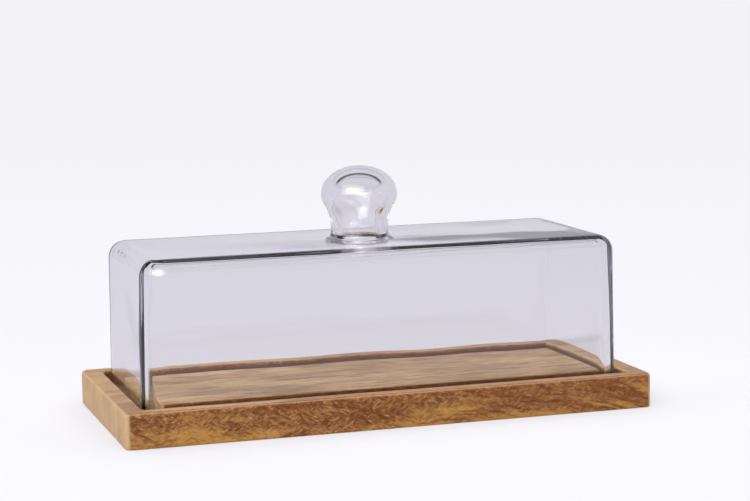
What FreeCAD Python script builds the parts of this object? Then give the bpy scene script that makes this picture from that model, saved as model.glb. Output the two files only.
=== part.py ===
import FreeCAD, Part
import math
import os
from FreeCAD import Vector

# Butter dish: a grooved wooden tray, a rectangular glass cover that stands in the
# groove, and a hollow glass knob fused to the top of the cover.
# Millimetres. +X along the tray's length, +Y towards its back, +Z up. The origin is
# the centre of the tray's underside, on the surface that the dish stands on.

# ---- wooden tray: one board, routed from above ----
TRAY_LENGTH = 252.0
TRAY_WIDTH = 114.0
TRAY_THICKNESS = 16.5
TRAY_CORNER_RADIUS = 4.0
RIM_WIDTH = 9.0                 # wood left standing outside the groove, at the back and ends
RIM_WIDTH_FRONT = 7.0
GROOVE_FLOOR_Z = 10.0
GROOVE_CORNER_RADIUS = 3.0
GROOVE_WIDTH_FRONT = 14.0       # the hand-cut groove differs on each side of the platform
GROOVE_WIDTH_BACK = 12.0
GROOVE_WIDTH_LEFT = 11.0
GROOVE_WIDTH_RIGHT = 8.0
PLATFORM_DROP = 0.9             # butter platform's level below the rim's top
TOP_EDGE_ROUNDING = 2.0         # the outer top edge, worn round
BOTTOM_EDGE_EASING = 0.9
INNER_EDGE_EASING = 0.6

# ---- glass cover: tapered box, open below ----
COVER_LENGTH = 229.2            # over the outside, at the lip
COVER_WIDTH = 92.0
COVER_TOP_Z = 81.0
COVER_LIFT_GAP = 0.1            # the rough groove floor holds the lip this far up
COVER_DRAFT = 0.009             # each wall leans in by this much per unit of height
COVER_CORNER_RADIUS = 10.0      # upright corners, outside
COVER_TOP_EDGE_RADIUS = 7.5
WALL_AT_LIP = 3.5
WALL_AT_TOP = 4.5
TOP_PLATE = 3.5
INNER_TOP_EDGE_RADIUS = 4.0
INNER_CORNER_RADIUS_AT_LIP = 7.5
INNER_CORNER_RADIUS_AT_TOP = 7.0
LIP_ROUNDING = 1.4

# ---- hollow glass knob, a solid of revolution about the cover's upright centre line ----
KNOB_HEIGHT = 34.4
KNOB_HEAD_RADIUS = 18.1
KNOB_HEAD_LEVEL = 21.2          # height of the head's widest circle above the cover
KNOB_NECK_RADIUS = 13.7
KNOB_NECK_TOP = 6.0
KNOB_FOOT_RADIUS = 15.8
KNOB_FOOT_HEIGHT = 2.6          # the foot flares out below this height
# (radius, height) on the shoulder between the neck and the head
KNOB_SHOULDER = [(14.0, 9.5), (15.3, 13.8), (17.5, 18.0)]
HOLLOW_HEIGHT = 29.5
HOLLOW_HEAD_RADIUS = 13.1
HOLLOW_NECK_RADIUS = 8.6        # the hollow opens into the cover
HOLLOW_SHOULDER = [(8.9, 9.5), (10.0, 13.4), (12.2, 17.6)]
MOUTH_ROUNDING = 2.0

COVER_LIP_Z = GROOVE_FLOOR_Z + COVER_LIFT_GAP
OVERCUT = 2.0                   # how far a cutting shape runs past the face that it cuts
ANYWHERE = (0, 999)             # a range of reach that takes in every edge


def rounded_outline(x_low, x_high, y_low, y_high, radius, z):
    """Closed wire: a rectangle with rounded corners, level, at height z."""
    r = radius
    diagonal = r * (1.0 - 0.5 ** 0.5)
    edges = []
    corners = [(x_high, y_high, 1, 1), (x_low, y_high, -1, 1),
               (x_low, y_low, -1, -1), (x_high, y_low, 1, -1)]
    ends = []
    for x, y, sx, sy in corners:
        beside_x = Vector(x, y - sy * r, z)
        beside_y = Vector(x - sx * r, y, z)
        middle = Vector(x - sx * diagonal, y - sy * diagonal, z)
        first, last = (beside_x, beside_y) if sx * sy > 0 else (beside_y, beside_x)
        edges.append(Part.Arc(first, middle, last).toShape())
        ends.append((first, last))
    for i in range(4):
        edges.append(Part.LineSegment(ends[i][1], ends[(i + 1) % 4][0]).toShape())
    return Part.Wire(Part.__sortEdges__(edges))


def rounded_block(x_low, x_high, y_low, y_high, radius, z_low, z_high):
    """Upright block with rounded corners."""
    face = Part.Face(rounded_outline(x_low, x_high, y_low, y_high, radius, z_low))
    return face.extrude(Vector(0, 0, z_high - z_low))


def tapered_block(half_low, half_high, radius_low, radius_high, z_low, z_high):
    """Block with rounded corners whose walls lean evenly from z_low to z_high."""
    x, y = half_low
    low = rounded_outline(-x, x, -y, y, radius_low, z_low)
    x, y = half_high
    high = rounded_outline(-x, x, -y, y, radius_high, z_high)
    return Part.makeLoft([low, high], True, True)


def level_edges(shape, z, x_range, y_range):
    """Edges lying at height z whose widest reach in x and y is within the ranges."""
    found = []
    for edge in shape.Edges:
        box = edge.BoundBox
        reach_x = max(abs(box.XMin), abs(box.XMax))
        reach_y = max(abs(box.YMin), abs(box.YMax))
        level = abs(box.ZMin - z) < 1e-3 and abs(box.ZMax - z) < 1e-3
        if level and x_range[0] < reach_x < x_range[1] and y_range[0] < reach_y < y_range[1]:
            found.append(edge)
    return found


def wooden_tray():
    half_x = TRAY_LENGTH / 2
    half_y = TRAY_WIDTH / 2
    pocket_x = half_x - RIM_WIDTH
    pocket_front = -half_y + RIM_WIDTH_FRONT
    pocket_back = half_y - RIM_WIDTH
    platform_top = TRAY_THICKNESS - PLATFORM_DROP
    board = rounded_block(-half_x, half_x, -half_y, half_y, TRAY_CORNER_RADIUS,
                          0, TRAY_THICKNESS)
    board = board.makeFillet(TOP_EDGE_ROUNDING,
                             level_edges(board, TRAY_THICKNESS, ANYWHERE, ANYWHERE))
    board = board.makeFillet(BOTTOM_EDGE_EASING, level_edges(board, 0, ANYWHERE, ANYWHERE))
    pocket = rounded_block(-pocket_x, pocket_x, pocket_front, pocket_back,
                           GROOVE_CORNER_RADIUS, GROOVE_FLOOR_Z, TRAY_THICKNESS + OVERCUT)
    platform = rounded_block(-pocket_x + GROOVE_WIDTH_LEFT, pocket_x - GROOVE_WIDTH_RIGHT,
                             pocket_front + GROOVE_WIDTH_FRONT,
                             pocket_back - GROOVE_WIDTH_BACK, GROOVE_CORNER_RADIUS,
                             GROOVE_FLOOR_Z - OVERCUT, platform_top)
    platform = platform.makeFillet(INNER_EDGE_EASING,
                                   level_edges(platform, platform_top, ANYWHERE, ANYWHERE))
    tray = board.cut(pocket)
    rim_inner = level_edges(tray, TRAY_THICKNESS, (0, pocket_x + 1), (0, 1 - pocket_front))
    tray = tray.makeFillet(INNER_EDGE_EASING, rim_inner)
    return tray.fuse(platform).removeSplitter()


def cover_half(z, inset):
    """Half-length and half-width of the cover at height z, a given depth inside it."""
    lean = COVER_DRAFT * (z - COVER_LIP_Z)
    return (COVER_LENGTH / 2 - lean - inset, COVER_WIDTH / 2 - lean - inset)


def glass_cover():
    lean_at_top = COVER_DRAFT * (COVER_TOP_Z - COVER_LIP_Z)
    outside = tapered_block(cover_half(COVER_LIP_Z, 0), cover_half(COVER_TOP_Z, 0),
                            COVER_CORNER_RADIUS, COVER_CORNER_RADIUS - lean_at_top,
                            COVER_LIP_Z, COVER_TOP_Z)
    outside = outside.makeFillet(COVER_TOP_EDGE_RADIUS,
                                 level_edges(outside, COVER_TOP_Z, ANYWHERE, ANYWHERE))
    ceiling_z = COVER_TOP_Z - TOP_PLATE
    hollow = tapered_block(cover_half(COVER_LIP_Z, WALL_AT_LIP),
                           cover_half(ceiling_z, WALL_AT_TOP),
                           INNER_CORNER_RADIUS_AT_LIP, INNER_CORNER_RADIUS_AT_TOP,
                           COVER_LIP_Z, ceiling_z)
    hollow = hollow.makeFillet(INNER_TOP_EDGE_RADIUS,
                               level_edges(hollow, ceiling_z, ANYWHERE, ANYWHERE))
    mouth = Part.makeCylinder(HOLLOW_NECK_RADIUS, TOP_PLATE + 2 * OVERCUT,
                              Vector(0, 0, ceiling_z - OVERCUT))
    cover = outside.cut(hollow).cut(mouth)
    mouth_edge = level_edges(cover, ceiling_z, (0, HOLLOW_NECK_RADIUS + 1),
                             (0, HOLLOW_NECK_RADIUS + 1))
    cover = cover.makeFillet(MOUTH_ROUNDING, mouth_edge)
    lip_edges = level_edges(cover, COVER_LIP_Z, ANYWHERE, ANYWHERE)
    return cover.makeFillet(LIP_ROUNDING, lip_edges)


def on_knob(radius, height):
    """Point of the knob's section, in the XZ plane."""
    return Vector(radius, 0, COVER_TOP_Z + height)


def shoulder(head_radius, neck_radius, points):
    """Smooth S curve from the neck up to the head's widest circle."""
    curve = Part.BSplineCurve()
    places = [on_knob(neck_radius, KNOB_NECK_TOP)]
    places += [on_knob(radius, height) for radius, height in points]
    places.append(on_knob(head_radius, KNOB_HEAD_LEVEL))
    curve.interpolate(Points=places, InitialTangent=Vector(0, 0, 1), FinalTangent=Vector(0, 0, 1))
    return curve.toShape()


def dome(radius, top_height):
    """Quarter of an ellipse from the head's widest circle up to the centre line."""
    ellipse = Part.Ellipse(on_knob(radius, KNOB_HEAD_LEVEL), on_knob(0, top_height),
                           on_knob(0, KNOB_HEAD_LEVEL))
    return Part.ArcOfEllipse(ellipse, 0, math.pi / 2).toBSpline().toShape()


def foot_flare():
    """Round flare from the foot's rim up into the neck's side."""
    reach = KNOB_FOOT_RADIUS - KNOB_NECK_RADIUS
    radius = (reach ** 2 + KNOB_FOOT_HEIGHT ** 2) / (2 * reach)
    turn = math.asin(KNOB_FOOT_HEIGHT / radius) / 2
    middle = on_knob(KNOB_NECK_RADIUS + radius * (1 - math.cos(turn)),
                     KNOB_FOOT_HEIGHT - radius * math.sin(turn))
    return Part.Arc(on_knob(KNOB_FOOT_RADIUS, 0), middle,
                    on_knob(KNOB_NECK_RADIUS, KNOB_FOOT_HEIGHT)).toShape()


def glass_knob():
    def straight(first, last):
        return Part.LineSegment(on_knob(*first), on_knob(*last)).toShape()

    outline = [
        straight((HOLLOW_NECK_RADIUS, 0), (KNOB_FOOT_RADIUS, 0)),
        foot_flare(),
        straight((KNOB_NECK_RADIUS, KNOB_FOOT_HEIGHT), (KNOB_NECK_RADIUS, KNOB_NECK_TOP)),
        shoulder(KNOB_HEAD_RADIUS, KNOB_NECK_RADIUS, KNOB_SHOULDER),
        dome(KNOB_HEAD_RADIUS, KNOB_HEIGHT),
        straight((0, KNOB_HEIGHT), (0, HOLLOW_HEIGHT)),
        dome(HOLLOW_HEAD_RADIUS, HOLLOW_HEIGHT),
        shoulder(HOLLOW_HEAD_RADIUS, HOLLOW_NECK_RADIUS, HOLLOW_SHOULDER),
        straight((HOLLOW_NECK_RADIUS, KNOB_NECK_TOP), (HOLLOW_NECK_RADIUS, 0)),
    ]
    section = Part.Face(Part.Wire(Part.__sortEdges__(outline)))
    return section.revolve(Vector(0, 0, 0), Vector(0, 0, 1), 360)


PIECES = {
    "wooden_tray": wooden_tray,
    "glass_cover": glass_cover,
    "glass_knob": glass_knob,
}

os.makedirs("parts", exist_ok=True)
for name, make in PIECES.items():
    piece = make().Solids[0]
    piece.exportStep("parts/" + name + ".step")
    box = piece.optimalBoundingBox(True, False)
    size = [round(v, 2) for v in (box.XLength, box.YLength, box.ZLength)]
    print(name, "valid", piece.isValid(), "volume", round(piece.Volume, 1), "size", size)
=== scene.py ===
import math
import bmesh
import bpy
import numpy as np
from mathutils import Matrix, Vector


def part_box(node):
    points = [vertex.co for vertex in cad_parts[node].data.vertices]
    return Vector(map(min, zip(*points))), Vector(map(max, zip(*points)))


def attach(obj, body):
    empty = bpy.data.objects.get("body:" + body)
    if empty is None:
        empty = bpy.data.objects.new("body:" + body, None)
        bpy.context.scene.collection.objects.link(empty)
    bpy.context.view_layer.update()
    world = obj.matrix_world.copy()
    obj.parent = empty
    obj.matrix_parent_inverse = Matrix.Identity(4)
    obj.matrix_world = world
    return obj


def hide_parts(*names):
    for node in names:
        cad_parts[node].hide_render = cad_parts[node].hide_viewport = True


# Butter dish: a grooved wooden tray and a clear glass cover with a hollow glass knob.
# The meshes are in metres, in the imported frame. The dish's own sizes are named here in
# millimetres, and the camera's, the lights' and the floor's in metres.

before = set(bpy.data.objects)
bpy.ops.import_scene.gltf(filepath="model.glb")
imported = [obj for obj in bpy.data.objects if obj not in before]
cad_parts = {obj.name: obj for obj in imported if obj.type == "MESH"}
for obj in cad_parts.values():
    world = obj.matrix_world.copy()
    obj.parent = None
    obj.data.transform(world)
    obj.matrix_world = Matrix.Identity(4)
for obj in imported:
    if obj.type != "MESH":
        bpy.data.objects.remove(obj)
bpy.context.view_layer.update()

MM = 0.001

# ---- tray, as routed from one board ----
RIM_WIDTH = 9.0
RIM_WIDTH_FRONT = 7.0
GROOVE_FLOOR_Z = 10.0
GROOVE_WIDTH_FRONT = 14.0
GROOVE_WIDTH_BACK = 12.0
GROOVE_WIDTH_LEFT = 11.0
GROOVE_WIDTH_RIGHT = 8.0
GROOVE_CORNER_RADIUS = 3.0
GROOVE_FLOOR_ROUNDING = 0.6
PLATFORM_DROP = 0.9
TRAY_CORNER_RADIUS = 4.0
TOP_EDGE_ROUNDING = 2.0
BOTTOM_EDGE_EASING = 0.9
INNER_EDGE_EASING = 0.6

# ---- glass cover and knob ----
COVER_DRAFT = 0.009
COVER_CORNER_RADIUS = 10.0
COVER_TOP_EDGE_RADIUS = 7.5
WALL_AT_LIP = 3.5
WALL_AT_TOP = 4.5
TOP_PLATE = 3.5
INNER_TOP_EDGE_RADIUS = 4.0
INNER_CORNER_RADIUS_AT_LIP = 7.5
INNER_CORNER_RADIUS_AT_TOP = 7.0
LIP_ROUNDING = 1.4
KNOB_HEAD_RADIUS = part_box("glass_knob")[1].x / MM
KNOB_HEAD_LEVEL = 21.2
KNOB_NECK_TOP = 6.0
KNOB_NECK_RADIUS = 13.7
KNOB_FOOT_RADIUS = 15.8
KNOB_FOOT_HEIGHT = 2.6
KNOB_FOOT_MARGIN = 0.8          # the cover's last row stands this far outside the foot
KNOB_SHOULDER = [(14.0, 9.5), (15.3, 13.8), (17.5, 18.0)]
HOLLOW_HEIGHT = 29.5
HOLLOW_HEAD_RADIUS = 13.1
HOLLOW_NECK_RADIUS = 8.6
HOLLOW_SHOULDER = [(8.9, 9.5), (10.0, 13.4), (12.2, 17.6)]
MOUTH_ROUNDING = 2.0
MOUTH_MARGIN = 1.0

# ---- unevenness of hand work: height, and the shortest and longest waves ----
GLASS_RIPPLE_INSIDE = 0.18
GLASS_RIPPLE_OUTSIDE = 0.08
GLASS_RIPPLE_LENGTHS = (35.0, 80.0)
GLASS_SEED_INSIDE = 21
GLASS_SEED_OUTSIDE = 22
GLASS_SKIN = 2.0                # points deeper than this are on the inside
LIP_EVEN = 2.0                  # the lip is even up to here, and the ripple grows above it
LIP_FADE = 15.0
WOOD_RIPPLE = 0.10
WOOD_RIPPLE_LENGTHS = (14.0, 60.0)
WOOD_SEED = 11

# ---- painted shade in the groove ----
GROOVE_SHADE_MARGIN = 0.3             # this much of the rim, seen from above, counts as groove
GROOVE_SHADE_START = 0.05             # the painted shade starts this far below the platform's top
GROOVE_SHADE_FADE = 0.3               # and is full this much lower
LIT_END_GROOVE_SHADE = 0.45              # how strong the painted shade is at the groove's left-hand end under the cover, where lamp light reaches; 1 elsewhere
LIT_END_SHADE_REACH = 22.0               # along the board, from the lit end to full painted shade

# ---- how finely the meshes are cut, before one subdivision ----
HALF_END_STEPS = 6
CORNER_STEPS = 8
HALF_SIDE_STEPS = 14
RING_POINTS = 4 * (HALF_END_STEPS + CORNER_STEPS + HALF_SIDE_STEPS)
# How far in from the edge the rings lie that fill the two flat faces
UNDERSIDE_INSETS = (48, 36, 24, 12, 4)
PLATFORM_INSETS = (1.5, 5, 12, 20, 28)

# ---- glass; the density is per metre ----
GLASS_TINT = (1.0, 1.0, 1.0)
GLASS_IOR = 1.5
ABSORPTION_COLOUR = (0.60, 0.58, 0.68)
ABSORPTION_DENSITY = 15.0

# ---- wood: lengths of its figure along X, Y and Z ----
GRAIN_WANDER = (48, 30, 20)
GRAIN_CURL = (5.0, 8, 5.0)
BROAD_FIGURE = (40, 25, 6.0)
STREAK = (15, 6, 1.7)
FIBRE = (5.0, 3, 0.9)
RISING_DASH = (2.4, 1.6, 0.9)
FALLING_DASH = (2.8, 1.6, 0.9)
DASH_PATCH = (7, 9, 5)
BROAD_STRIPE = (60, 7.0, 30)
LINE = (24, 3.4, 12)
PALE_LINE = (14, 2.6, 12)
END_BAND = (30, 13, 19)
GRIT = (1.1, 1.1, 1.1)
RISING_DEGREES = -32
FALLING_DEGREES = 24

# ---- wood: how the grain runs on the long sides ----
GRAIN_SLOPE = 0.11
GRAIN_BEND = 0.0006
WANDER_HEIGHT = 14.0
CURL_HEIGHT = 4.0
CREST_SHIFT = 95.0
CREST_SPACING = 115.0
CREST_SHARE = 0.14
LENS_FADE_UPWARDS = -0.036
RED_FADE_UPWARDS = 0.01

# ---- wood: where each look starts and is full ----
FACES_SIDEWAYS = (0.15, 0.60)
FACES_ENDWAYS = (0.30, 0.80)
FACES_BETWEEN = (0.08, 0.28)    # on the rounded edges, which look two ways at once
PLATFORM_LEVEL = (16.3, 15.9)   # heights between the rim's top and the platform's
CURLY_GRAIN = (-70.0, 20.0)     # millimetres along -X
GOLD_LENS = (0.22, 0.50)
RED_PATCH = (0.52, 0.28)
DASH_PATCH_EDGE = (0.44, 0.56)
PALE_STRIPE = (0.42, 0.58)
PALE_BAND = (0.34, 0.64)
OPEN_PORE = (0.54, 0.66)

# ---- wood: colours ----
SIDE_BROWN = (0.255, 0.105, 0.033)
SIDE_RED = (0.200, 0.068, 0.020)
SIDE_GOLD = (0.420, 0.208, 0.050)
TOP_BROWN = (0.345, 0.215, 0.138)
TOP_PALE = (0.480, 0.345, 0.195)
END_BROWN = (0.455, 0.285, 0.155)
END_PALE = (0.535, 0.360, 0.188)
RIM_SHADE = (0.90, 0.81, 0.74)
PLATFORM_SHADE = (0.82, 0.755, 0.63)
WORN_EDGE = (0.53, 0.34, 0.175)
# Painted shade for the groove, not a colour of the wood
GROOVE_SHADE_COLOUR = (0.058, 0.024, 0.010)

# ---- wood: layers of figure: where each starts and is full, and its colour ----
DARK_STREAKS = (0.48, 0.66, (0.110, 0.034, 0.010))
PALE_FIBRES = (0.50, 0.70, (0.38, 0.190, 0.075))
DARK_DASHES = (0.48, 0.66, (0.110, 0.033, 0.010))
PALE_DASHES = (0.46, 0.28, (0.42, 0.220, 0.085))
BROWNER_RIGHT = (-80.0, 30.0, (0.300, 0.190, 0.108))
DARK_LINES = (0.46, 0.62, (0.185, 0.100, 0.052))
PALE_LINES = (0.50, 0.66, (0.550, 0.410, 0.245))

# ---- wood: how strongly each shows ----
STREAK_SHARE = (0.90, 0.65)     # where the grain is straight, and where it is curly
DASH_SHARE = (0.45, 0.75)       # the same two
DASH_SHARE_IN_GOLD = 0.45
FIBRE_SHARE = 0.45
RIGHT_SHARE = 0.55
LINE_SHARE = (0.22, 0.80)       # on the rim, and on the platform
PALE_LINE_SHARE = (0.25, 0.60)  # the same two
EDGE_SHARE = 0.50
# How strongly the painted shade in the groove shows
GROOVE_SHADE_SHARE = 0.82
GRIT_CONTRAST = 0.36
GRIT_DARKEST = 0.82

# ---- wood: surface ----
WOOD_ROUGHNESS = 0.45
GRIT_ROUGHNESS = 0.15
PORE_ROUGHNESS = 0.15
WOOD_SPECULAR = 0.12
BUMP_STRENGTH = 0.5
BUMP_DISTANCE = 0.00015         # metres
LINE_RELIEF = 0.6
PORE_RELIEF = 0.8

# ---- camera, light and floor ----
CAMERA_PLACE = (-0.28993, -0.93503, 0.2034)
CAMERA_TURN = 17.647
CAMERA_DOWN = 7.498
CAMERA_ROLL = -0.898
CAMERA_LENS = 99.664
CAMERA_SENSOR = 36.0
CAMERA_NEAREST = 0.01
CAMERA_FARTHEST = 100.0
LAMP_AIM = (0, 0, 0.05)
KEY_PLACE = (-1.1, -1.3, 1.1)
KEY_SIZE = (0.9, 0.9)
KEY_POWER = 14
WINDOW_PLACE = (-1.1, -1.3, 1.15)
WINDOW_SIZE = (2.4, 1.8)
WINDOW_POWER = 48
FLOOR_COLOUR = (0.93, 0.925, 0.965)
FLOOR_GLOW = (0.465, 0.463, 0.482)
FLOOR_GLOW_IN_GLASS = (0.245, 0.235, 0.290)
FLOOR_DIFFUSE = 0.40
FLOOR_REACH = 30.0
SKY_COLOUR = (0.955, 0.935, 1.03)
# Height of the direction and brightness there
SKY = [(0.0, 0.73), (0.52, 0.73), (0.58, 0.03), (0.63, 0.05), (0.72, 0.65)]
TENT_COLOUR = (1.15, 1.14, 1.16, 1.0)
MOST_BOUNCES = 32
MOST_GLOSSY_BOUNCES = 16


def link(item):
    bpy.context.scene.collection.objects.link(item)
    return item


# ---------------------------------------------------------------- rows of points

def rounded_ring(x_low, x_high, y_low, y_high, radius, z):
    """Level rectangle with rounded corners, anticlockwise from the middle of its +X end."""
    half_x = (x_high - x_low) / 2
    half_y = (y_high - y_low) / 2
    radius = max(radius, 0.0)
    turn = np.linspace(0, math.pi / 2, CORNER_STEPS, endpoint=False)
    end = np.linspace((half_x, 0), (half_x, half_y - radius), HALF_END_STEPS, endpoint=False)
    corner = np.stack([half_x - radius + radius * np.cos(turn),
                       half_y - radius + radius * np.sin(turn)], 1)
    side = np.linspace((half_x - radius, half_y), (0, half_y), HALF_SIDE_STEPS + 1)
    quarter = np.concatenate([end, corner, side])
    back_half = np.concatenate([quarter[:-1], quarter[:0:-1] * (-1, 1)])
    outline = np.concatenate([back_half, -back_half])
    outline += ((x_low + x_high) / 2, (y_low + y_high) / 2)
    return np.column_stack([outline, np.full(RING_POINTS, z)])


def round_ring(radius, z):
    """Level circle about the upright centre line, starting at +X."""
    turn = np.arange(RING_POINTS) / RING_POINTS * 2 * math.pi
    return np.column_stack([radius * np.cos(turn), radius * np.sin(turn),
                            np.full(RING_POINTS, z)])


def between(first, last, shares):
    """Rows part of the way from one row to another."""
    return [first + (last - first) * share for share in shares]


def arc_steps(steps):
    """(sine, 1 - cosine) at even steps of a quarter turn, its start left out."""
    turns = [math.pi / 2 * k / steps for k in range(1, steps + 1)]
    return [(math.sin(t), 1 - math.cos(t)) for t in turns]


def spread(first, last, steps):
    """Even steps from one number to another, the first left out."""
    return [first + (last - first) * k / steps for k in range(1, steps + 1)]


def smooth_profile(points, steps):
    """Points on a smooth curve through the given (radius, height) points, upright at both ends."""
    places = np.array(points, float)
    slopes = np.gradient(places[:, 0], places[:, 1])
    slopes[0] = slopes[-1] = 0.0
    found = []
    for i in range(len(places) - 1):
        (r0, h0), (r1, h1) = places[i], places[i + 1]
        rise = h1 - h0
        for k in range(1, steps + 1):
            t = k / steps
            radius = ((2 * t ** 3 - 3 * t ** 2 + 1) * r0 + (3 * t ** 2 - 2 * t ** 3) * r1
                      + (t ** 3 - 2 * t ** 2 + t) * rise * slopes[i]
                      + (t ** 3 - t ** 2) * rise * slopes[i + 1])
            found.append((radius, h0 + rise * t))
    return found


def ripple(points, seed, lengths, waves=9):
    """Smooth unevenness between about -1 and 1, made of waves in mixed directions."""
    source = np.random.default_rng(seed)
    total = np.zeros(len(points))
    for _ in range(waves):
        direction = source.normal(size=3)
        direction /= np.linalg.norm(direction)
        length = source.uniform(*lengths)
        total += np.sin(points @ direction * (2 * math.pi / length)
                        + source.uniform(0, 2 * math.pi))
    return total / waves * 2


# ---------------------------------------------------------------- meshes

def skin(name, rows, uneven):
    """Closed mesh over the rows, in order. uneven(points, normals) gives each point's shift."""
    points = np.concatenate(rows)
    faces = []
    for row in range(len(rows) - 1):
        for k in range(RING_POINTS):
            after = (k + 1) % RING_POINTS
            low, high = row * RING_POINTS, (row + 1) * RING_POINTS
            faces.append((low + k, low + after, high + after, high + k))
    mesh = bpy.data.meshes.new(name)
    mesh.from_pydata(points.tolist(), [], faces)
    work = bmesh.new()
    work.from_mesh(mesh)
    bmesh.ops.remove_doubles(work, verts=work.verts, dist=1e-4)
    bmesh.ops.recalc_face_normals(work, faces=work.faces)
    work.to_mesh(mesh)
    work.free()
    count = len(mesh.vertices)
    places = np.zeros(count * 3)
    normals = np.zeros(count * 3)
    mesh.vertices.foreach_get("co", places)
    mesh.vertices.foreach_get("normal", normals)
    places = places.reshape(-1, 3)
    normals = normals.reshape(-1, 3)
    places = (places + normals * uneven(places, normals)[:, None]) * MM
    mesh.vertices.foreach_set("co", places.ravel())
    mesh.polygons.foreach_set("use_smooth", [True] * len(mesh.polygons))
    mesh.update()
    piece = link(bpy.data.objects.new(name, mesh))
    smoother = piece.modifiers.new("smoother", "SUBSURF")
    smoother.levels = smoother.render_levels = 1
    return piece


def tray_rows():
    """Rows from the middle of the underside, up the outside, over the rim and the groove."""
    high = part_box("wooden_tray")[1]
    half_x, half_y = high.x / MM, high.y / MM
    top = high.z / MM
    rows = []

    def ring(x_low, x_high, y_low, y_high, inset, radius, z):
        rows.append(rounded_ring(x_low + inset, x_high - inset, y_low + inset, y_high - inset,
                                 radius - inset, z))

    def board(inset, z):
        ring(-half_x, half_x, -half_y, half_y, inset, TRAY_CORNER_RADIUS, z)

    def groove(inset, z):
        """Row on the rim's inner side, or on the groove's floor by the rim."""
        ring(-half_x + RIM_WIDTH, half_x - RIM_WIDTH, -half_y + RIM_WIDTH_FRONT,
             half_y - RIM_WIDTH, inset, GROOVE_CORNER_RADIUS, z)

    def platform(inset, z):
        ring(-half_x + RIM_WIDTH + GROOVE_WIDTH_LEFT, half_x - RIM_WIDTH - GROOVE_WIDTH_RIGHT,
             -half_y + RIM_WIDTH_FRONT + GROOVE_WIDTH_FRONT,
             half_y - RIM_WIDTH - GROOVE_WIDTH_BACK, inset, GROOVE_CORNER_RADIUS, z)

    ease, inner, foot = BOTTOM_EDGE_EASING, INNER_EDGE_EASING, GROOVE_FLOOR_ROUNDING
    worn = TOP_EDGE_ROUNDING
    for inset in (half_y, *UNDERSIDE_INSETS, 1.5 * ease):
        board(inset, 0)
    board(ease, 0)
    for across, up in arc_steps(4):
        board(ease * (1 - across), ease * up)
    for z in spread(ease, top - worn, 6):
        board(0, z)
    for up, across in arc_steps(5):
        board(worn * across, top - worn + worn * up)
    rim_edge = rounded_ring(-half_x + RIM_WIDTH - inner, half_x - RIM_WIDTH + inner,
                            -half_y + RIM_WIDTH_FRONT - inner, half_y - RIM_WIDTH + inner,
                            GROOVE_CORNER_RADIUS + inner, top)
    rows += between(rows[-1], rim_edge, (0.2, 0.4, 0.6, 0.8, 1.0))
    for across, down in arc_steps(3):
        groove(-inner * (1 - across), top - inner * down)
    for z in spread(top - inner, GROOVE_FLOOR_Z + foot, 4):
        groove(0, z)
    for down, across in arc_steps(3):
        groove(foot * across, GROOVE_FLOOR_Z + foot * (1 - down))
    groove_end = rows[-1]
    platform(-foot, GROOVE_FLOOR_Z)
    rows[-1:] = between(groove_end, rows[-1], (0.33, 0.67, 1.0))
    for across, up in arc_steps(3):
        platform(-foot * (1 - across), GROOVE_FLOOR_Z + foot * up)
    table = top - PLATFORM_DROP
    for z in spread(GROOVE_FLOOR_Z + foot, table - inner, 3):
        platform(0, z)
    for up, across in arc_steps(3):
        platform(inner * across, table - inner + inner * up)
    for inset in (*PLATFORM_INSETS, half_y - RIM_WIDTH - GROOVE_WIDTH_BACK):
        platform(inset, table)
    return rows


def groove_painted_shade(points):
    """Painted shade: 1 deep in the groove, 0 on the rim and the platform, from points in
    millimetres.
    It is less towards the left-hand end, under the cover, where lamp light reaches."""
    low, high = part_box("wooden_tray")
    x, y, z = points.T
    in_pocket = ((np.abs(x) < high.x / MM - RIM_WIDTH + GROOVE_SHADE_MARGIN)
                 & (y < high.y / MM - RIM_WIDTH + GROOVE_SHADE_MARGIN)
                 & (y > low.y / MM + RIM_WIDTH_FRONT - GROOVE_SHADE_MARGIN))
    below = np.clip((high.z / MM - PLATFORM_DROP - GROOVE_SHADE_START - z) / GROOVE_SHADE_FADE, 0, 1)
    on_top = (z > GROOVE_FLOOR_Z / 2) & in_pocket
    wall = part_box("glass_cover")[0].x / MM
    platform_end = low.x / MM + RIM_WIDTH + GROOVE_WIDTH_LEFT
    # The painted shade is weaker at the left-hand end under the cover, where lamp light reaches.
    shade_scale = np.interp(x, (wall, wall + WALL_AT_LIP, platform_end, platform_end + LIT_END_SHADE_REACH),
                      (1.0, LIT_END_GROOVE_SHADE, LIT_END_GROOVE_SHADE, 1.0))
    return np.where(on_top, below, 0.0) * shade_scale


def tray_unevenness(points, normals):
    """The sanded board dips a little everywhere, and its underside stays flat."""
    dips = (ripple(points, WOOD_SEED, WOOD_RIPPLE_LENGTHS) - 1.0) * WOOD_RIPPLE
    faces_down = normals[:, 2] <= -0.5
    return np.where(faces_down, 0.0, dips)


def cover_ring(z, lip_z, inset, radius):
    """Ring round the leaning cover at a height, a given depth inside its outer face."""
    lean = COVER_DRAFT * (z - lip_z) + inset
    low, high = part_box("glass_cover")
    return rounded_ring(low.x / MM + lean, high.x / MM - lean,
                        low.y / MM + lean, high.y / MM - lean, radius, z)


def knob_rings(profile, base_z):
    """Level circles for (radius, height) points."""
    return [round_ring(radius, base_z + height) for radius, height in profile]


def dome(radius, top_height, steps):
    """(radius, height) points up a quarter of an ellipse, its start left out."""
    rise = top_height - KNOB_HEAD_LEVEL
    return [(radius * (1 - fall), KNOB_HEAD_LEVEL + rise * up) for up, fall in arc_steps(steps)]


def hollow_profile():
    """The hollow in the knob, from the neck up."""
    neck = [(HOLLOW_NECK_RADIUS, height) for height in (0.0, 3.0, KNOB_NECK_TOP)]
    bend = [(HOLLOW_NECK_RADIUS, KNOB_NECK_TOP), *HOLLOW_SHOULDER,
            (HOLLOW_HEAD_RADIUS, KNOB_HEAD_LEVEL)]
    return neck + smooth_profile(bend, 3) + dome(HOLLOW_HEAD_RADIUS, HOLLOW_HEIGHT, 9)


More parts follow.
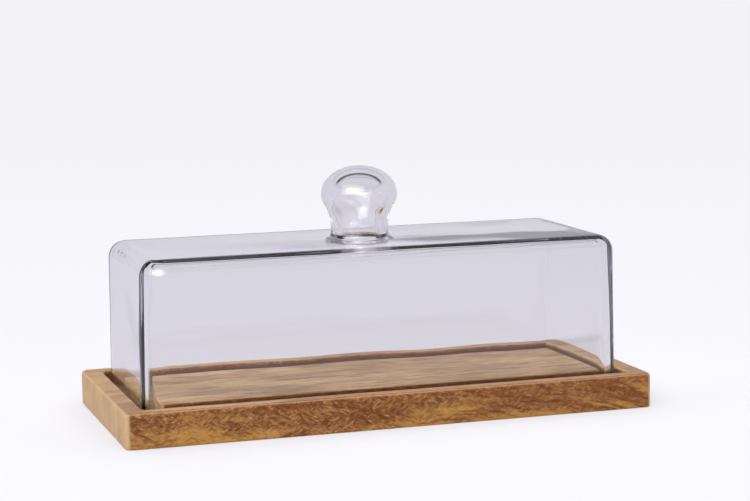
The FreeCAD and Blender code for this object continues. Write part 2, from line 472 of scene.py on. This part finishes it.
def knob_profile(height):
    """The knob's outside, from its foot up."""
    reach = KNOB_FOOT_RADIUS - KNOB_NECK_RADIUS
    radius = (reach ** 2 + KNOB_FOOT_HEIGHT ** 2) / (2 * reach)
    foot = []
    for k in range(5):
        rise = KNOB_FOOT_HEIGHT * k / 4
        sine = (KNOB_FOOT_HEIGHT - rise) / radius
        foot.append((KNOB_NECK_RADIUS + radius * (1 - math.sqrt(1 - sine ** 2)), rise))
    foot.append((KNOB_NECK_RADIUS, KNOB_NECK_TOP))
    bend = [(KNOB_NECK_RADIUS, KNOB_NECK_TOP), *KNOB_SHOULDER,
            (KNOB_HEAD_RADIUS, KNOB_HEAD_LEVEL)]
    return foot + smooth_profile(bend, 3) + dome(KNOB_HEAD_RADIUS, height, 10)


def glass_rows():
    """Rows from the top of the hollow, down the inside, round the lip and up the outside."""
    lip_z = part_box("glass_cover")[0].z / MM
    top_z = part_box("glass_cover")[1].z / MM
    knob_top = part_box("glass_knob")[1].z / MM
    ceiling = top_z - TOP_PLATE

    def inside(z, extra=0.0):
        share = (z - lip_z) / (ceiling - lip_z)
        wall = WALL_AT_LIP + (WALL_AT_TOP - WALL_AT_LIP) * share
        radius = (INNER_CORNER_RADIUS_AT_LIP
                  + (INNER_CORNER_RADIUS_AT_TOP - INNER_CORNER_RADIUS_AT_LIP) * share)
        return cover_ring(z, lip_z, wall + extra, radius - extra)

    def outside(z, extra=0.0):
        return cover_ring(z, lip_z, extra, COVER_CORNER_RADIUS - extra)

    rows = knob_rings(hollow_profile()[::-1], top_z)
    for z in spread(top_z, ceiling + MOUTH_ROUNDING, 2):
        rows.append(round_ring(HOLLOW_NECK_RADIUS, z))
    for down, across in arc_steps(4):
        rows.append(round_ring(HOLLOW_NECK_RADIUS + MOUTH_ROUNDING * across,
                               ceiling + MOUTH_ROUNDING * (1 - down)))
    edge = INNER_TOP_EDGE_RADIUS
    ceiling_edge = inside(ceiling, edge)
    rows += between(round_ring(HOLLOW_NECK_RADIUS + MOUTH_ROUNDING + MOUTH_MARGIN, ceiling),
                    ceiling_edge, (0.0, 0.2, 0.4, 0.6, 0.8, 0.96, 1.0))
    for across, down in arc_steps(6):
        rows.append(inside(ceiling - edge * down, edge * (1 - across)))
    for z in spread(ceiling - edge, lip_z + LIP_ROUNDING, 10):
        rows.append(inside(z))
    for down, across in arc_steps(4):
        rows.append(inside(lip_z + LIP_ROUNDING * (1 - down), -LIP_ROUNDING * across))
    rows.append(outside(lip_z, LIP_ROUNDING))
    for across, up in arc_steps(4):
        rows.append(outside(lip_z + LIP_ROUNDING * up, LIP_ROUNDING * (1 - across)))
    edge = COVER_TOP_EDGE_RADIUS
    for z in spread(lip_z + LIP_ROUNDING, top_z - edge, 10):
        rows.append(outside(z))
    for up, across in arc_steps(8):
        rows.append(outside(top_z - edge + edge * up, edge * across))
    knob_foot = round_ring(KNOB_FOOT_RADIUS + KNOB_FOOT_MARGIN, top_z)
    rows += between(rows[-1], knob_foot, (0.03, 0.2, 0.4, 0.6, 0.8, 0.94, 1.0))
    rows += knob_rings(knob_profile(knob_top - top_z), top_z)
    return rows


def glass_unevenness(points, normals):
    """The inside of the glass ripples more than the outside, and the lip is even."""
    low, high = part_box("glass_cover")
    half_x, half_y, top = high.x / MM, high.y / MM, high.z / MM
    lean = COVER_DRAFT * (points[:, 2] - low.z / MM)
    to_side = np.minimum(half_x - lean - np.abs(points[:, 0]),
                         half_y - lean - np.abs(points[:, 1]))
    is_inside = np.minimum(to_side, top - points[:, 2]) > GLASS_SKIN
    above_lip = np.clip((points[:, 2] - low.z / MM - LIP_EVEN) / LIP_FADE, 0, 1)
    inner = ripple(points, GLASS_SEED_INSIDE, GLASS_RIPPLE_LENGTHS) * GLASS_RIPPLE_INSIDE
    outer = ripple(points, GLASS_SEED_OUTSIDE, GLASS_RIPPLE_LENGTHS) * GLASS_RIPPLE_OUTSIDE
    return np.where(is_inside, inner, outer) * above_lip


# ---------------------------------------------------------------- materials

class Nodes:
    """Short names for making and joining shader nodes."""

    def __init__(self, name):
        self.material = bpy.data.materials.new(name)
        self.material.use_nodes = True
        self.tree = self.material.node_tree
        self.shader = self.tree.nodes["Principled BSDF"]
        self.output = self.tree.nodes["Material Output"]

    def make(self, kind, **settings):
        node = self.tree.nodes.new(kind)
        for key, value in settings.items():
            setattr(node, key, value)
        return node

    def feed(self, socket, value):
        if isinstance(value, bpy.types.NodeSocket):
            self.tree.links.new(value, socket)
        else:
            socket.default_value = value

    def math(self, operation, first, second=0.0):
        node = self.make("ShaderNodeMath", operation=operation)
        self.feed(node.inputs[0], first)
        self.feed(node.inputs[1], second)
        return node.outputs[0]

    def step(self, value, low, high):
        """0 at low, 1 at high and smooth between, whichever of the two is the larger."""
        node = self.make("ShaderNodeMapRange", interpolation_type="SMOOTHSTEP")
        self.feed(node.inputs["Value"], value)
        node.inputs["From Min"].default_value = low
        node.inputs["From Max"].default_value = high
        return node.outputs["Result"]

    def noise(self, vector, detail=2.0, roughness=0.5):
        node = self.make("ShaderNodeTexNoise")
        self.feed(node.inputs["Vector"], vector)
        node.inputs["Scale"].default_value = 1.0
        node.inputs["Detail"].default_value = detail
        node.inputs["Roughness"].default_value = roughness
        return node.outputs["Fac"]

    def stretched(self, vector, lengths, offset=(0, 0, 0)):
        """The vector divided by a length on each axis, and moved."""
        node = self.make("ShaderNodeMapping")
        self.feed(node.inputs["Vector"], vector)
        node.inputs["Scale"].default_value = [1 / length for length in lengths]
        node.inputs["Location"].default_value = offset
        return node.outputs["Vector"]

    def slanted(self, vector, lengths, degrees):
        """As stretched, with the lengths turned about the Y axis."""
        node = self.make("ShaderNodeMapping", vector_type="TEXTURE")
        self.feed(node.inputs["Vector"], vector)
        node.inputs["Scale"].default_value = lengths
        node.inputs["Rotation"].default_value = (0, math.radians(degrees), 0)
        return node.outputs["Vector"]

    def mix(self, share, first, second, blend="MIX"):
        node = self.make("ShaderNodeMix", data_type="RGBA", blend_type=blend)
        self.feed(node.inputs["Factor"], share)
        self.feed(node.inputs["A"], first)
        self.feed(node.inputs["B"], second)
        return node.outputs["Result"]

    def blend(self, share, first, second):
        """A number part of the way from one number to another."""
        node = self.make("ShaderNodeMix", data_type="FLOAT")
        self.feed(node.inputs["Factor"], share)
        self.feed(node.inputs["A"], first)
        self.feed(node.inputs["B"], second)
        return node.outputs["Result"]

    def layer(self, under, value, figure, share):
        """A colour over another, growing as the value goes from the figure's start to full."""
        start, full, over = figure
        cover = self.math("MULTIPLY", self.step(value, start, full), share)
        return self.mix(cover, under, colour(*over))

    def split(self, vector):
        node = self.make("ShaderNodeSeparateXYZ")
        self.feed(node.inputs[0], vector)
        return node.outputs

    def join(self, x, y, z):
        node = self.make("ShaderNodeCombineXYZ")
        for socket, value in zip(node.inputs, (x, y, z)):
            self.feed(socket, value)
        return node.outputs[0]


def colour(red, green, blue):
    return (red, green, blue, 1.0)


def short_dashes(nodes, millimetres):
    """Noise in short dashes, which lean one way or the other in patches."""
    rising = nodes.noise(nodes.slanted(millimetres, RISING_DASH, RISING_DEGREES), 1.0)
    falling = nodes.noise(nodes.slanted(millimetres, FALLING_DASH, FALLING_DEGREES), 1.0)
    patches = nodes.noise(nodes.stretched(millimetres, DASH_PATCH, (1.0, 4.0, 3.0)), 1.0)
    return nodes.blend(nodes.step(patches, *DASH_PATCH_EDGE), rising, falling)


def long_side_colour(nodes, millimetres, dash):
    """Brown, with a golden lens low down at each crest of the rings, slanting dark streaks
    towards the right, and short dashes, dark and light, all over."""
    x, y, z = nodes.split(millimetres)

    # The grain is nearly level at the left-hand end, dips more towards the right, and wanders.
    wander = nodes.noise(nodes.stretched(millimetres, GRAIN_WANDER), 1.0)
    curl = nodes.noise(nodes.stretched(millimetres, GRAIN_CURL, (2.0, 8.0, 1.0)), 1.0)
    curly = nodes.step(nodes.math("MULTIPLY", x, -1.0), *CURLY_GRAIN)
    slope = nodes.math("ADD", nodes.math("MULTIPLY", x, GRAIN_BEND), GRAIN_SLOPE)
    wandering = nodes.math("MULTIPLY", nodes.math("SUBTRACT", wander, 0.5), WANDER_HEIGHT)
    curling = nodes.math("MULTIPLY", nodes.math("MULTIPLY", curl, CURL_HEIGHT), curly)
    dip = nodes.math("ADD", nodes.math("MULTIPLY", x, slope), wandering)
    dip = nodes.math("ADD", dip, curling)
    grain = nodes.join(x, y, nodes.math("ADD", z, dip))

    broad = nodes.noise(nodes.stretched(grain, BROAD_FIGURE, (3.1, 0.7, 5.2)), 2.0)
    streak = nodes.noise(nodes.stretched(grain, STREAK, (0.0, 3.0, 9.0)), 3.0, 0.65)
    fibre = nodes.noise(nodes.stretched(grain, FIBRE, (4.4, 2.0, 7.1)), 3.0, 0.6)
    crest = nodes.math("COSINE", nodes.math("MULTIPLY", nodes.math("ADD", x, CREST_SHIFT),
                                            2 * math.pi / CREST_SPACING))
    lens = nodes.math("ADD", broad, nodes.math("MULTIPLY", crest, CREST_SHARE))
    lens = nodes.math("ADD", lens, nodes.math("MULTIPLY", z, LENS_FADE_UPWARDS))
    golden = nodes.step(lens, *GOLD_LENS)
    redness = nodes.math("SUBTRACT", broad, nodes.math("MULTIPLY", z, RED_FADE_UPWARDS))
    reddish = nodes.step(redness, *RED_PATCH)
    side = nodes.mix(reddish, colour(*SIDE_BROWN), colour(*SIDE_RED))
    side = nodes.mix(golden, side, colour(*SIDE_GOLD))

    side = nodes.layer(side, streak, DARK_STREAKS, nodes.blend(curly, *STREAK_SHARE))
    side = nodes.layer(side, fibre, PALE_FIBRES, FIBRE_SHARE)
    speckled = nodes.math("MULTIPLY", nodes.blend(curly, *DASH_SHARE),
                          nodes.blend(golden, 1.0, DASH_SHARE_IN_GOLD))
    side = nodes.layer(side, dash, DARK_DASHES, speckled)
    return nodes.layer(side, dash, PALE_DASHES, speckled)


def top_colour(nodes, millimetres, line):
    """Paler, in soft streaks along the board. The platform is browner than the rim."""
    x, y, z = nodes.split(millimetres)
    on_platform = nodes.step(z, *PLATFORM_LEVEL)
    stripe = nodes.noise(nodes.stretched(millimetres, BROAD_STRIPE, (0.4, 2.2, 0)), 2.0)
    pale = nodes.noise(nodes.stretched(millimetres, PALE_LINE, (2.0, 7.3, 0)), 2.0, 0.65)
    top = nodes.mix(nodes.step(stripe, *PALE_STRIPE), colour(*TOP_BROWN), colour(*TOP_PALE))
    top = nodes.layer(top, x, BROWNER_RIGHT, RIGHT_SHARE)
    top = nodes.layer(top, line, DARK_LINES, nodes.blend(on_platform, *LINE_SHARE))
    top = nodes.layer(top, pale, PALE_LINES, nodes.blend(on_platform, *PALE_LINE_SHARE))
    shade = nodes.mix(on_platform, colour(*RIM_SHADE), colour(*PLATFORM_SHADE))
    return nodes.mix(1.0, top, shade, "MULTIPLY")


def end_colour(nodes, millimetres):
    """Palest, in soft broken bands."""
    bands = nodes.noise(nodes.stretched(millimetres, END_BAND, (1.2, 4.0, 0)), 3.0, 0.6)
    return nodes.mix(nodes.step(bands, *PALE_BAND), colour(*END_BROWN), colour(*END_PALE))


def wood_material():
    """Oiled wood, coloured by which way each face looks. The offsets of the noises only
    choose where the figure falls."""
    nodes = Nodes("oiled_wood")
    place = nodes.make("ShaderNodeTexCoord").outputs["Object"]
    millimetres = nodes.stretched(place, (MM, MM, MM))
    normal = nodes.split(nodes.make("ShaderNodeTexCoord").outputs["Normal"])
    endways, sideways, upward = [nodes.math("ABSOLUTE", normal[axis]) for axis in (0, 1, 2)]
    largest = nodes.math("MAXIMUM", endways, nodes.math("MAXIMUM", sideways, upward))
    on_side = nodes.step(sideways, *FACES_SIDEWAYS)
    on_end = nodes.step(endways, *FACES_ENDWAYS)
    on_edge = nodes.step(nodes.math("SUBTRACT", 1.0, largest), *FACES_BETWEEN)
    # The "groove" attribute is painted shade for the groove.
    groove = nodes.make("ShaderNodeAttribute", attribute_name="groove").outputs["Fac"]

    dash = short_dashes(nodes, millimetres)
    line = nodes.noise(nodes.stretched(millimetres, LINE, (5.0, 0.3, 0)), 3.0, 0.70)
    grit = nodes.noise(nodes.stretched(millimetres, GRIT), 2.0, 0.6)
    base = nodes.mix(on_side, top_colour(nodes, millimetres, line),
                     long_side_colour(nodes, millimetres, dash))
    base = nodes.mix(on_end, base, end_colour(nodes, millimetres))
    base = nodes.mix(nodes.math("MULTIPLY", on_edge, EDGE_SHARE), base, colour(*WORN_EDGE))
    # Painted shade in the groove.
    base = nodes.mix(nodes.math("MULTIPLY", groove, GROOVE_SHADE_SHARE), base, colour(*GROOVE_SHADE_COLOUR))
    tone = nodes.math("ADD", nodes.math("MULTIPLY", grit, GRIT_CONTRAST), GRIT_DARKEST)
    base = nodes.mix(1.0, base, nodes.join(tone, tone, tone), "MULTIPLY")
    nodes.feed(nodes.shader.inputs["Base Color"], base)

    pores = nodes.step(dash, *OPEN_PORE)
    even = nodes.math("ADD", nodes.math("MULTIPLY", grit, GRIT_ROUGHNESS), WOOD_ROUGHNESS)
    rough = nodes.math("ADD", nodes.math("MULTIPLY", pores, PORE_ROUGHNESS), even)
    nodes.feed(nodes.shader.inputs["Roughness"], rough)
    nodes.shader.inputs["Specular IOR Level"].default_value = WOOD_SPECULAR
    bump = nodes.make("ShaderNodeBump")
    bump.inputs["Strength"].default_value = BUMP_STRENGTH
    bump.inputs["Distance"].default_value = BUMP_DISTANCE
    relief = nodes.math("SUBTRACT", nodes.math("MULTIPLY", line, LINE_RELIEF),
                        nodes.math("MULTIPLY", pores, PORE_RELIEF))
    nodes.feed(bump.inputs["Height"], relief)
    nodes.feed(nodes.shader.inputs["Normal"], bump.outputs[0])
    return nodes.material


def glass_material():
    nodes = Nodes("lilac_glass")
    shader = nodes.shader
    shader.inputs["Base Color"].default_value = (*GLASS_TINT, 1.0)
    shader.inputs["Roughness"].default_value = 0.0
    shader.inputs["IOR"].default_value = GLASS_IOR
    shader.inputs["Transmission Weight"].default_value = 1.0
    volume = nodes.make("ShaderNodeVolumeAbsorption")
    volume.inputs["Color"].default_value = (*ABSORPTION_COLOUR, 1.0)
    volume.inputs["Density"].default_value = ABSORPTION_DENSITY
    nodes.tree.links.new(volume.outputs[0], nodes.output.inputs["Volume"])
    return nodes.material


def floor_material():
    """Pale floor, which glows less where it is seen in or through the glass."""
    nodes = Nodes("pale_floor")
    shader = nodes.shader
    direct = nodes.make("ShaderNodeLightPath").outputs["Is Camera Ray"]
    shader.inputs["Base Color"].default_value = colour(*[FLOOR_DIFFUSE * c for c in FLOOR_COLOUR])
    shader.inputs["Roughness"].default_value = 1.0
    shader.inputs["Specular IOR Level"].default_value = 0.0
    glow = nodes.mix(direct, colour(*FLOOR_GLOW_IN_GLASS), colour(*FLOOR_GLOW))
    nodes.feed(shader.inputs["Emission Color"], glow)
    shader.inputs["Emission Strength"].default_value = 1.0
    return nodes.material


# ---------------------------------------------------------------- floor, light and camera

def make_floor():
    mesh = bpy.data.meshes.new("floor")
    r = FLOOR_REACH
    mesh.from_pydata([(-r, -r, 0), (r, -r, 0), (r, r, 0), (-r, r, 0)], [], [(0, 1, 2, 3)])
    floor = link(bpy.data.objects.new("floor", mesh))
    mesh.materials.append(floor_material())


def make_world():
    """A white tent for matt surfaces. Glass sees it dimmer, with one narrow dark band high up,
    which gives the knob its dark arc. The world isn't sampled as a lamp."""
    world = bpy.data.worlds.new("studio")
    bpy.context.scene.world = world
    world.use_nodes = True
    world.cycles.sampling_method = "NONE"
    tree = world.node_tree
    place = tree.nodes.new("ShaderNodeTexCoord")
    parts = tree.nodes.new("ShaderNodeSeparateXYZ")
    ramp = tree.nodes.new("ShaderNodeValToRGB")
    path = tree.nodes.new("ShaderNodeLightPath")
    choice = tree.nodes.new("ShaderNodeMix")
    choice.data_type = "RGBA"
    tree.links.new(place.outputs["Generated"], parts.inputs[0])
    tree.links.new(parts.outputs["Z"], ramp.inputs[0])
    tree.links.new(path.outputs["Diffuse Depth"], choice.inputs["Factor"])
    tree.links.new(ramp.outputs["Color"], choice.inputs["A"])
    choice.inputs["B"].default_value = TENT_COLOUR
    tree.links.new(choice.outputs["Result"], tree.nodes["Background"].inputs["Color"])
    stops = ramp.color_ramp.elements
    while len(stops) < len(SKY):
        stops.new(0.5)
    for stop, (height, brightness) in zip(stops, SKY):
        stop.position = height
        stop.color = [brightness * part for part in SKY_COLOUR] + [1.0]


def softbox(name, place, size, power, lights_matt=True):
    """Square-cornered lamp aimed at the dish. Unless it lights matt surfaces, only gloss and
    glass show it."""
    data = bpy.data.lights.new(name, "AREA")
    data.shape = "RECTANGLE"
    data.size, data.size_y = size
    data.energy = power
    lamp = link(bpy.data.objects.new(name, data))
    lamp.visible_diffuse = lights_matt
    lamp.location = place
    to_dish = Vector(LAMP_AIM) - Vector(place)
    lamp.rotation_euler = to_dish.to_track_quat("-Z", "Y").to_euler()


def make_lights():
    softbox("key", KEY_PLACE, KEY_SIZE, KEY_POWER)
    softbox("window", WINDOW_PLACE, WINDOW_SIZE, WINDOW_POWER, lights_matt=False)


def make_camera():
    data = bpy.data.cameras.new("camera")
    data.sensor_width = CAMERA_SENSOR
    data.lens = CAMERA_LENS
    data.clip_start = CAMERA_NEAREST
    data.clip_end = CAMERA_FARTHEST
    camera = link(bpy.data.objects.new("camera", data))
    turn = Matrix.Rotation(math.radians(-CAMERA_TURN), 4, "Z")
    tilt = Matrix.Rotation(math.radians(90 - CAMERA_DOWN), 4, "X")
    roll = Matrix.Rotation(math.radians(CAMERA_ROLL), 4, "Z")
    camera.matrix_world = Matrix.Translation(CAMERA_PLACE) @ turn @ tilt @ roll
    bpy.context.scene.camera = camera


# ---------------------------------------------------------------- the object

def make_tray():
    """The board, with the painted shade of the groove at each point kept for its material."""
    tray = skin("wooden_tray_board", tray_rows(), tray_unevenness)
    tray.data.materials.append(wood_material())
    # The "groove" attribute holds painted shade.
    depth = tray.data.attributes.new("groove", "FLOAT", "POINT")
    places = np.zeros(len(tray.data.vertices) * 3)
    tray.data.vertices.foreach_get("co", places)
    depth.data.foreach_set("value", groove_painted_shade(places.reshape(-1, 3) / MM))
    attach(tray, "tray")
    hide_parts("wooden_tray")


def make_glass():
    """Cover and knob as the one body of glass that they are once fused."""
    glass = skin("glass_cover_with_knob", glass_rows(), glass_unevenness)
    glass.data.materials.append(glass_material())
    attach(glass, "cover")
    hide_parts("glass_cover", "glass_knob")


make_camera()
make_world()
make_lights()
make_floor()
make_tray()
make_glass()

scene = bpy.context.scene
scene.view_settings.view_transform = "Standard"
scene.cycles.max_bounces = MOST_BOUNCES
scene.cycles.transmission_bounces = MOST_BOUNCES
scene.cycles.glossy_bounces = MOST_GLOSSY_BOUNCES
scene.cycles.blur_glossy = 0.0
